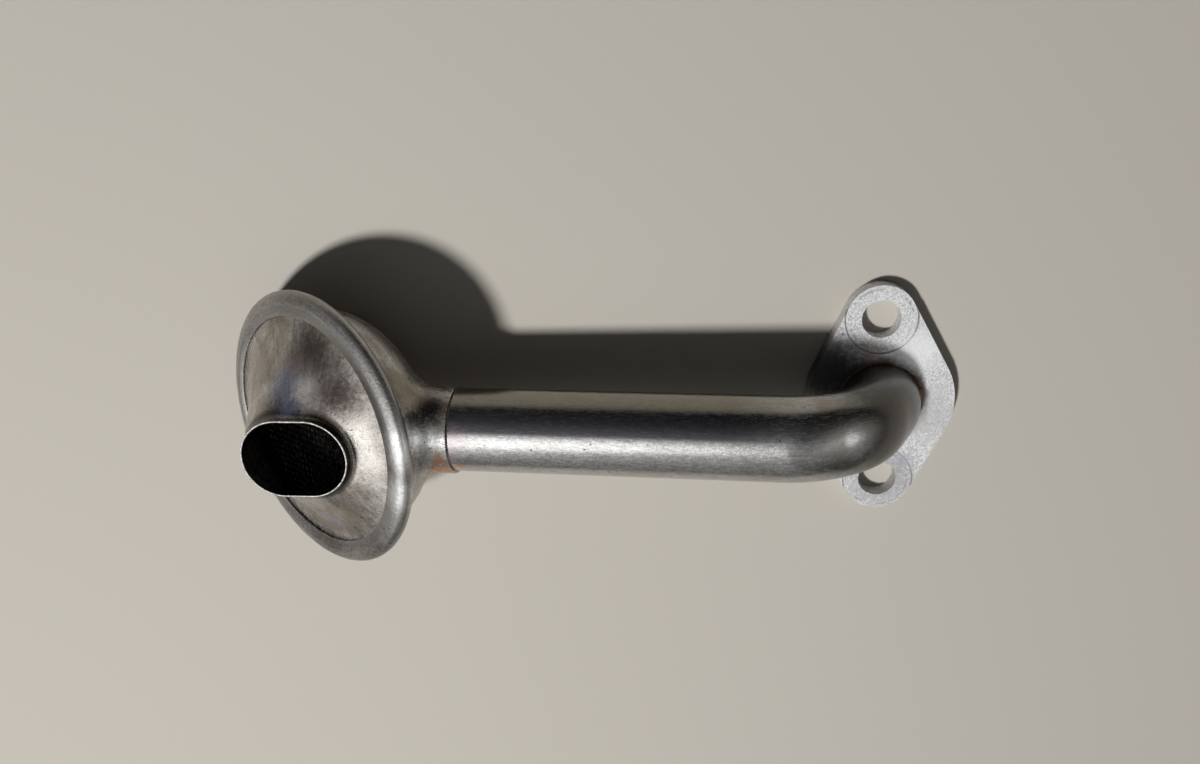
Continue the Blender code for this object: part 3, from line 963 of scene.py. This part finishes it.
def brushed_steel(name, colours, roughness, streak, stain_and_painted_light_spots, bands, depths, contrast,
                  weights=(0.45, 0.25, 0.30), cloudy=1.0, haze=None, shine=None, belly_axis=None):
    """colours are dark, middle and light. streak is how often the brushing varies along the grain's
    axes, per metre. A band has the distance that it is measured by, its four ends in millimetres, a
    tint and its share. depths are those of the brushing, the sparkle, the grit and the scratches, in
    metres. weights say how much the brushing, the grit and the sparkle count, and cloudy how much
    the patches show. haze is a spot with a dull film, and shine a spot worn smooth."""
    material, shader, place = new_finish(name)
    tree = material.node_tree
    grain = chain(tree, "ShaderNodeAttribute", attribute_name="grain").outputs["Vector"]
    worn = chain(tree, "ShaderNodeAttribute", attribute_name="worn").outputs["Fac"]
    along = coordinate(grain, "Z")
    patches = cloud(place, PATCH_SCALE, 5, 0.65)
    brushing = grooves(place, grain, along, streak, belly_axis)
    fine = cloud(place, SPARKLE_SCALE, 2, 0.7)
    grit = cloud(place, GRIT_SCALE, 3, 0.75)
    mixed = plus(*(times(part, share) for part, share in zip((brushing, grit, fine), weights)))
    colour = blend(between(patches, 0.38, 0.5, 1 - cloudy, 1.0), colours[0], colours[1])
    colour = blend(between(patches, 0.5, 0.64, 0.0, cloudy), colour, colours[2])
    colour = vector_calc("MULTIPLY", colour, between(mixed, 0.43, 0.57, *contrast, "LINEAR"))
    distances = {
        "along": along,
        "roughly along": uneven(along, patches, END_WAVER),
        "painted reflection to the side": uneven(coordinate(place, "Y"), brushing, PAINTED_REFLECTION_WAVER),
    }
    for kind, ends, tint, share in bands:
        mask = band(distances[kind], *ends, share)
        # Bands of painted reflection on the tube's side fade in past its end.
        if kind == "painted reflection to the side":
            mask = times(mask, between(along, *PAINTED_REFLECTION_START))
        colour = blend(mask, colour, tint)
    colour = lay_stain_and_painted_light(colour, place, stain_and_painted_light_spots)
    specks = between(cloud(place, SPECK_SCALE, 2, 0.6), 0.69, 0.74, 0.0, 0.75)
    colour = blend(specks, colour, SPECK)
    # Rubbed edges are paler; on the hem's lip these dots are also painted glints of the crimped edge.
    dotted_glints = between(cloud(place, DOT_SCALE, 1), 0.42, 0.56, 0.25, 0.95)
    colour = blend(times(worn, dotted_glints), colour, POLISHED_AND_GLINT)
    rough = between(mixed, 0.42, 0.58, *roughness, "LINEAR")
    rough = plus(rough, between(patches, 0.4, 0.62, 0.05 * cloudy, -0.03 * cloudy))
    rough = calc("SUBTRACT", rough, times(worn, 0.05))
    if shine:
        *spot, smoother = shine
        rough = calc("SUBTRACT", rough, times(near_spot(place, *spot), smoother))
    if haze:
        metallic = between(near_spot(place, *haze), 0.0, 1.0, 1.0, 0.78)
        tree.links.new(metallic, shader.inputs["Metallic"])
    heights = [(brushing, depths[0]), (fine, depths[1]), (grit, depths[2])]
    heights += [(scratches(grain), -depths[3]), (specks, -SPECK_DEPTH)]
    finished(shader, colour, rough, heights)
    return material


def dress(thing, material):
    """Gives a piece its only material."""
    thing.data.materials.clear()
    thing.data.materials.append(material)
    print(thing.name, "wears", material.name)


print("noise scales, per metre:", PATCH_SCALE, SPECK_SCALE, GRIT_SCALE, DOT_SCALE, SPARKLE_SCALE)

# %% [markdown]
# ## The tube's finish
# Drawn tube is smooth, with fine lines along its length. The heat of brazing left it brown near the
# flange and copper-coloured next to the neck. Near the flange the colour is also darkened as painted
# shade, so that the bend doesn't mirror the pale floor. Two bands of painted reflection run along its
# +Y side, and on the bend there is painted shade round a painted highlight. Such tints could be
# painted in an image, but a spot is only a distance to a point, and a band a distance along the
# metal, so a few numbers do, and they stay sharp at any size.

# %% Tube
SOOT = (0.055, 0.045, 0.04)
COPPER = (0.56, 0.29, 0.18)
BROWN = (0.24, 0.18, 0.13)
BLUED = (0.30, 0.34, 0.50)
tube_steel = brushed_steel(
    drawn_steel.name,
    ((0.41, 0.39, 0.365), (0.52, 0.51, 0.50), (0.60, 0.60, 0.59)),
    roughness=(0.17, 0.25),
    streak=(1900, 1900, 450),
    stain_and_painted_light_spots=[
        ((-96.4, -5.6, 31.8), 2.0, COPPER, 0.8, 1.0),
        ((-98.0, -8.6, 27.0), 2.6, COPPER, 0.6, 1.0),
        ((-97.5, 2.0, 33.6), 5.0, (0.40, 0.33, 0.36), 0.5, 0.9),
        ((-97.0, -2.0, 16.0), 7.0, BROWN, 0.6, 0.9),
        ((-16.0, 9.5, 30.0), 6.0, (0.30, 0.26, 0.22), 0.5, 0.8),
        ((-31.0, 0.0, 17.5), 9.0, (0.33, 0.29, 0.25), 0.5, 0.9),
        # Painted shade round the bend's highlight, then a pale spot that is a painted highlight.
        ((-15.5, 2.0, 34.2), 8.0, (0.21, 0.197, 0.18), 0.85, 0.5),
        ((-12.5, -3.5, 33.0), 5.0, (0.24, 0.225, 0.20), 0.75, 0.6),
        ((-6.5, 4.0, 29.5), 4.5, (0.20, 0.185, 0.165), 0.75, 0.6),
        ((-11.1, 2.2, 32.3), 2.6, (0.60, 0.59, 0.56), 0.7, 0.5),
    ],
    bands=[
        # Painted reflections on the tube's +Y side: a dark band, then an olive one.
        ("painted reflection to the side", (2.4, 3.4, 7.2, 8.2), (0.085, 0.085, 0.11), 0.8),
        ("painted reflection to the side", (7.2, 8.3, 20, 21), (0.21, 0.19, 0.145), 0.78),
        # Near the flange: partly the tint of brazing heat, partly painted shade that keeps the bend
        # from mirroring the floor.
        ("roughly along", (-9, -8, 22, 40), (0.060, 0.053, 0.047), 0.88),
    ],
    depths=(0.6e-5, 1.2e-5, 1.7e-5, 0.9e-5),
    contrast=(0.78, 1.18),
    cloudy=0.3,
)
dress(bent_tube, tube_steel)

# %% [markdown]
# ## The housing's finish
# The housing was pressed and its rim rolled over, so its fine grooves run round the rim and round
# the bowl: the brushing varies quickly along the sheet and slowly round it. It is duller than the
# tube, with a few stains, and darker in patches on the hem, most on its low side. Round the neck,
# dark spots are painted shade on the side away from the light and pale spots are painted highlights,
# as are two pale spots on the crest of the hem. The neck is worn smooth, which is a spot where the
# roughness is lowered, so that no second material is needed.

# %% Housing
housing_steel = brushed_steel(
    "drawn_housing_steel",
    ((0.38, 0.35, 0.31), (0.50, 0.48, 0.46), (0.57, 0.555, 0.535)),
    roughness=(0.24, 0.38),
    streak=(25, 25, 1300),
    stain_and_painted_light_spots=[
        # Painted shade on the neck's side away from the light.
        ((-102.3, 8.8, 31.0), 6.0, (0.022, 0.02, 0.023), 0.95, 0.5),
        # Two pale spots on the neck are painted highlights.
        ((-103.2, 1.8, 34.9), 3.4, (0.93, 0.93, 0.92), 0.92, 0.7),
        ((-100.0, 1.2, 34.3), 2.6, (0.72, 0.72, 0.71), 0.9, 0.5),
        ((-100.6, -3.5, 33.7), 2.6, COPPER, 0.85, 0.8),
        ((-100.4, -6.8, 31.8), 4.4, COPPER, 0.92, 0.6),
        ((-99.6, 7.0, 31.0), 2.0, (0.36, 0.25, 0.20), 0.6, 0.8),
        ((-106.0, 12.0, 33.0), 8.0, (0.34, 0.28, 0.20), 0.65, 1.2),
        # Painted shade on the flank beside the neck, away from the light.
        ((-105.6, 6.6, 34.0), 3.4, (0.08, 0.072, 0.068), 0.9, 0.7),
        ((-108.0, -20.0, 33.0), 7.0, (0.36, 0.31, 0.25), 0.5, 1.0),
        ((-130.9, 20.0, 32.5), 12.0, (0.36, 0.31, 0.27), 0.35, 1.2),
        ((-124.6, -29.6, 31.5), 0.7, SOOT, 0.9, 0.4),
        # Dark patches on the hem, most on its low side.
        ((-114.0, -27.0, 38.0), 14.0, (0.115, 0.107, 0.10), 0.9, 1.0),
        ((-132.0, -31.0, 27.0), 14.0, (0.11, 0.10, 0.092), 0.9, 1.0),
        ((-144.0, -27.0, 19.0), 9.0, (0.15, 0.14, 0.13), 0.55, 1.0),
        ((-133.0, 31.0, 26.0), 12.0, (0.17, 0.16, 0.15), 0.6, 1.0),
        # Painted highlights on the crest of the hem.
        ((-106.0, 3.5, 44.2), 6.5, (0.96, 0.96, 0.95), 0.85, 0.6),
        ((-107.5, -7.5, 43.8), 6.5, (0.96, 0.96, 0.95), 0.75, 0.8),
    ],
    bands=[("roughly along", (-2, -1, 7, 10), (0.305, 0.29, 0.276), 0.78)],
    depths=(1.1e-4, 4e-5, 6e-5, 1.8e-5),
    contrast=(0.62, 1.26),
    weights=(0.62, 0.16, 0.22),
    shine=((-101.0, 2.0, 30.0), 14.0, 0.5, 0.13),
    belly_axis=(-math.sin(STRAINER_TILT), 0.0, math.cos(STRAINER_TILT)),
)
dress(strainer_shell, housing_steel)

# %% [markdown]
# ## The hood's finish
# The hood got hot when it was joined. Its tints go from straw to brown and blue in patches. The
# collar round the mouth is darkened, partly by soot and partly as painted shade, and two dark patches
# on the side away from the light are painted shade. A hazy film over the brightest patch is made by a
# lower Metallic value, which lets a little dull colour through the shine.

# %% Hood
hood_steel = brushed_steel(
    "heat_tinted_hood_steel",
    ((0.30, 0.265, 0.23), (0.43, 0.40, 0.37), (0.54, 0.515, 0.48)),
    roughness=(0.20, 0.34),
    streak=(1100, 1100, 160),
    stain_and_painted_light_spots=[
        # Painted shade: a dark patch on the hood's side away from the light.
        ((-127.0, 21.8, 31.2), 9.0, (0.13, 0.115, 0.105), 0.92, 1.0),
        ((-133.0, 14.0, 34.2), 7.0, BLUED, 0.75, 0.9),
        ((-127.0, 13.0, 36.8), 5.5, (0.82, 0.76, 0.73), 0.8, 0.9),
        ((-130.0, 18.0, 32.6), 4.5, (0.42, 0.33, 0.34), 0.6, 0.9),
        ((-131.0, 10.6, 38.4), 3.6, BLUED, 0.85, 0.5),
        # Painted shade: a dark patch where the hood faces away from the light.
        ((-119.3, 13.8, 37.9), 8.5, (0.12, 0.088, 0.084), 0.94, 1.1),
        ((-114.3, 6.0, 40.0), 5.5, (0.68, 0.65, 0.60), 0.6, 0.8),
        ((-113.2, -1.0, 40.3), 5.0, (0.68, 0.65, 0.60), 0.6, 0.8),
        ((-121.0, -14.0, 37.5), 7.0, (0.44, 0.38, 0.31), 0.6, 1.0),
        ((-128.0, -20.0, 33.0), 5.5, (0.34, 0.35, 0.45), 0.6, 0.8),
        ((-142.0, 15.0, 26.0), 6.0, (0.40, 0.36, 0.30), 0.6, 1.0),
    ],
    # The collar's dark band: partly soot, partly painted shade.
    bands=[("along", (0.02, 0.12, 3.3, 4.9), (0.085, 0.075, 0.062), 0.9)],
    depths=(2.5e-5, 4e-5, 6e-5, 1.8e-5),
    contrast=(0.72, 1.22),
    haze=((-128.5, 14.5, 35.8), 7.0, 1.0),
)
dress(inlet_hood, hood_steel)

# %% [markdown]
# ## Sintered steel
# The flange is pressed from powder and tumbled, so it has no direction: a pale surface covered in
# tiny facets that sparkle. Two noises of different size make the grain. A dark ring of painted shade
# marks the step at the edge of each spotface, broken dark rings mark the scrapes of washers, and
# brown flux stays where the tube was brazed in. A large dark spot beside the tube is the bend's
# painted shadow.

# %% Helpers for marks in rings
WASHER_RADIUS = 0.0072
SPOTFACE_SHADE_LINE = 0.00025
SCRAPE_WIDTH = 0.0004
FLUX_EDGE = (0.0112, 0.0134)
FLUX_WAVER = 0.0022


def off_axis(place, centre):
    """How far a point is from an upright axis."""
    level = vector_calc("MULTIPLY", place, (1, 1, 0))
    return vector_calc("DISTANCE", level, (*centre, 0.0), "Value")


def ring_mark(place, centre, radius, width):
    """1 on a thin ring about an upright axis."""
    away = calc("ABSOLUTE", calc("SUBTRACT", off_axis(place, centre), radius))
    return between(away, 0.3 * width, width, 1.0, 0.0)


print("ring marks, mm:", 1000 * SPOTFACE / 2, 1000 * WASHER_RADIUS)

# %% Flange
def sintered_steel(name, stain_and_painted_light_spots):
    """Pressed powder, with painted shade at the spotface rims, washer scrapes, brown flux, and stains
    and painted light on its top.
    """
    material, shader, place = new_finish(name, metallic=0.4)
    grain = cloud(place, 3800.0, 2, 0.6)
    pits = cloud(place, 1800.0, 3, 0.75)
    patches = cloud(place, 170.0, 3, 0.6)
    shade = plus(times(grain, 0.55), times(pits, 0.45))
    colour = blend(between(shade, 0.40, 0.60), (0.49, 0.49, 0.50), (0.97, 0.97, 0.98))
    colour = blend(between(patches, 0.48, 0.68, 0.0, 0.4), colour, (0.60, 0.59, 0.575))
    on_top = between(coordinate(place, "Z"), 0.6 * FLANGE_THICKNESS, 0.8 * FLANGE_THICKNESS)
    broken = between(cloud(place, 800.0, 2), 0.47, 0.58, 0.0, 0.6)
    for turn in (FLANGE_TURN + math.pi / 2, FLANGE_TURN - math.pi / 2):
        centre = (BOLT_PITCH / 2 * math.cos(turn), BOLT_PITCH / 2 * math.sin(turn))
        for radius, width, share, tint in (
            # Painted shade: a dark ring where each spotface steps down.
            (SPOTFACE / 2, SPOTFACE_SHADE_LINE, 0.75, (0.16, 0.15, 0.145)),
            (WASHER_RADIUS, SCRAPE_WIDTH, broken, (0.30, 0.29, 0.285)),
        ):
            mark = times(ring_mark(place, centre, radius, width), share)
            colour = blend(times(mark, on_top), colour, tint)
    ragged = plus(off_axis(place, (0.0, 0.0)), times(cloud(place, 500.0, 3), FLUX_WAVER))
    flux = between(ragged, *FLUX_EDGE, 0.9, 0.0)
    colour = blend(times(flux, on_top), colour, (0.075, 0.045, 0.032))
    colour = lay_stain_and_painted_light(colour, place, stain_and_painted_light_spots)
    rough = between(shade, 0.38, 0.62, 0.30, 0.52, "LINEAR")
    finished(shader, colour, rough, [(grain, 9e-5), (pits, 1.1e-4)])
    return material


flange_steel = sintered_steel(
    "sintered_steel_grain",
    [
        ((-9.6, 16.9, 4.7), 0.55, (0.12, 0.12, 0.12), 0.9, 0.8),
        ((6.9, -15.9, 4.6), 2.8, (0.42, 0.47, 0.62), 0.65, 0.8),
        ((9.5, -6.0, 4.7), 4.0, (0.55, 0.50, 0.46), 0.5, 0.8),
        ((-3.0, 12.5, 4.7), 5.0, (0.40, 0.33, 0.27), 0.6, 0.8),
        # The bend's painted shadow on the plate.
        ((-12.5, 7.5, 4.0), 13.5, (0.02, 0.018, 0.017), 0.97, 0.3),
        ((2.0, -20.0, 4.7), 13.0, (0.38, 0.375, 0.37), 0.78, 0.8),
        ((8.0, 13.0, 4.7), 8.0, (0.97, 0.97, 0.97), 0.85, 0.8),
        ((13.0, -4.0, 4.7), 8.0, (0.56, 0.555, 0.55), 0.6, 0.8),
    ],
)
dress(plate, flange_steel)

# %% [markdown]
# ## The wire's finish
# The screen sits deep inside, in a film of old oil. Each wire is thinner than a pin, so one dark
# colour that varies with the film, and a dull shine, are enough. The colour is very dark: partly the
# oil, partly painted shade for the inside of the housing.

# %% Wire
def oily_wire_in_painted_shade(name):
    """Very dark wire: a film of oil, and painted shade for the inside of the housing."""
    _, shader, place = new_finish(name)
    film = cloud(place, 400.0, 3)
    colour = blend(between(film, 0.4, 0.62), (0.022, 0.020, 0.018), (0.075, 0.068, 0.062))
    rough = between(film, 0.35, 0.65, 0.4, 0.6)
    finished(shader, colour, rough, [(cloud(place, 6000.0), 4e-6)])


oily_wire_in_painted_shade(screen_steel.name)
print("screen wears", screen_steel.name)

# %% [markdown]
# ## The finish of the brazing
# Brazing metal cools under a scale of oxide and shows bare copper where it was wiped. The scale is
# coarse for so small a bead, so its bump matters more than its colours.

# %% Brazing
def brazing(name, dark, middle, bright, copper_spots):
    """Cooled brazing metal: scaly oxide with bare metal at some spots."""
    material, shader, place = new_finish(name, metallic=0.6)
    scale = cloud(place, 1200.0, 4, 0.7)
    colour = blend(between(scale, 0.4, 0.6), dark, middle)
    spots = [(centre, radius, bright, 0.85, 0.9) for centre, radius in copper_spots]
    colour = lay_stain_and_painted_light(colour, place, spots)
    finished(shader, colour, between(scale, 0.35, 0.65, 0.35, 0.65), [(scale, 1.4e-4)])
    return material


dress(
    neck_braze,
    brazing("neck_brazing", (0.05, 0.04, 0.035), (0.20, 0.13, 0.10), COPPER,
            [((-98.4, -3.5, 33.5), 3.0), ((-98.6, -8.0, 29.5), 4.0), ((-98.2, 6.5, 31.5), 2.5)]),
)
dress(
    flange_braze,
    brazing("flange_brazing", (0.04, 0.022, 0.016), (0.17, 0.072, 0.043), (0.34, 0.15, 0.085),
            [((9.8, 2.0, 4.8), 3.0), ((4.0, 9.0, 4.8), 2.5)]),
)

# %% [markdown]
# ## Floor
# The part lies on its mating face, on a plain pale floor. One large disk does, wide enough that its
# edge is far away from every side.

# %% Floor
FLOOR_RADIUS = 6.0
FLOOR_GAP = 0.0001
FLOOR_COLOUR = (0.47, 0.44, 0.39, 1)
FLOOR_ROUGHNESS = 0.8
floor_mesh = bpy.data.meshes.new("floor")
floor_edge = circle(FLOOR_RADIUS, -FLOOR_GAP, 120)
floor_mesh.from_pydata(floor_edge, [], [tuple(range(len(floor_edge)))])
floor = placed("floor", floor_mesh)
floor_paint = bpy.data.materials.new("floor_paint")
floor_paint.use_nodes = True
coat = floor_paint.node_tree.nodes["Principled BSDF"]
coat.inputs["Base Color"].default_value = FLOOR_COLOUR
coat.inputs["Roughness"].default_value = FLOOR_ROUGHNESS
floor_mesh.materials.append(floor_paint)
print("floor radius, m:", FLOOR_RADIUS)

# %% [markdown]
# ## Lamps
# Workshop light is one strong lamp overhead and little from elsewhere. A disk lamp, small for its
# distance, lights the part from above its strainer, and a wide weak one softens the dark sides. The
# lamps are hidden from reflections, because the bright places that the metal shows are drawn in the
# room below, where their shape and softness can be set.

# %% Lamps
def lamp(name, size, strength, place, target=(-0.06, 0, 0.02)):
    """A round area lamp that looks at the part."""
    light = bpy.data.lights.new(name, "AREA")
    light.shape = "DISK"
    light.size = size
    light.energy = strength
    thing = placed(name, light)
    thing.location = place
    thing.rotation_euler = (Vector(target) - Vector(place)).to_track_quat("-Z", "Y").to_euler()
    return thing


key = lamp("key_lamp", size=0.10, strength=9.6, place=(-0.37, -0.22, 0.89))
fill = lamp("fill_lamp", size=1.2, strength=1.1, place=(0.30, -0.30, 1.10))
key.visible_glossy = fill.visible_glossy = False
print("lamps:", key.name, fill.name)

# %% [markdown]
# ## The room that the metal shows
# Bare metal has no look of its own: it mirrors the room. A plain grey world would leave every form
# flat, and an image of a room would need a file. Here the world is a few soft glows, each brightest
# in one direction and fading with the angle away from it: a ceiling light, two windows, two walls.
# The steps of a glow go from 0, at a right angle to its direction, to 1, where it is brightest.

# %% World
ROOM = {
    "ceiling light": (
        (-0.29, -0.22, 0.93),
        ((0.0, 0.02), (0.2, 0.03), (0.5, 0.065), (0.66, 0.14), (0.8, 0.28), (0.9, 0.42),
         (0.94, 0.60), (0.98, 1.7), (1.0, 2.3)),
    ),
    "left window": ((-0.70, -0.36, 0.62), ((0.0, 0.0), (0.82, 0.0), (0.95, 0.6), (1.0, 1.4))),
    "right window": (
        (0.84, -0.20, 0.47),
        ((0.0, 0.0), (0.72, 0.01), (0.85, 0.08), (0.92, 0.28), (0.98, 0.5), (1.0, 1.2)),
    ),
    "left wall": (
        (-0.90, 0.25, 0.25),
        ((0.0, 0.0), (0.3, 0.01), (0.55, 0.03), (0.75, 0.065), (0.9, 0.10), (1.0, 0.12)),
    ),
    "near wall": (
        (-0.10, -0.97, 0.22),
        ((0.0, 0.0), (0.5, 0.01), (0.75, 0.05), (0.92, 0.14), (1.0, 0.17)),
    ),
}
world = bpy.data.worlds.new("studio")
bpy.context.scene.world = world
world.use_nodes = True
world.cycles_visibility.diffuse = False
sky = world.node_tree
direction = chain(sky, "ShaderNodeTexCoord").outputs["Generated"]


def glow(side, steps):
    """Light that depends on the angle to one side of the room."""
    facing = vector_calc("DOT_PRODUCT", direction, tuple(Vector(side).normalized()), "Value")
    shade = chain(sky, "ShaderNodeValToRGB", {0: facing})
    ramp = shade.color_ramp
    ramp.interpolation = "EASE"
    while len(ramp.elements) < len(steps):
        ramp.elements.new(0.5)
    for element, (place, value) in zip(ramp.elements, steps):
        element.position = place
        element.color = (value, value, value, 1)
    return shade.outputs["Color"]


glows = [glow(side, steps) for side, steps in ROOM.values()]
room = glows[0]
for light in glows[1:]:
    room = vector_calc("ADD", room, light)
sky.links.new(room, sky.nodes["Background"].inputs["Color"])
bpy.context.scene.view_settings.view_transform = "Standard"
print("parts of the room:", *ROOM)
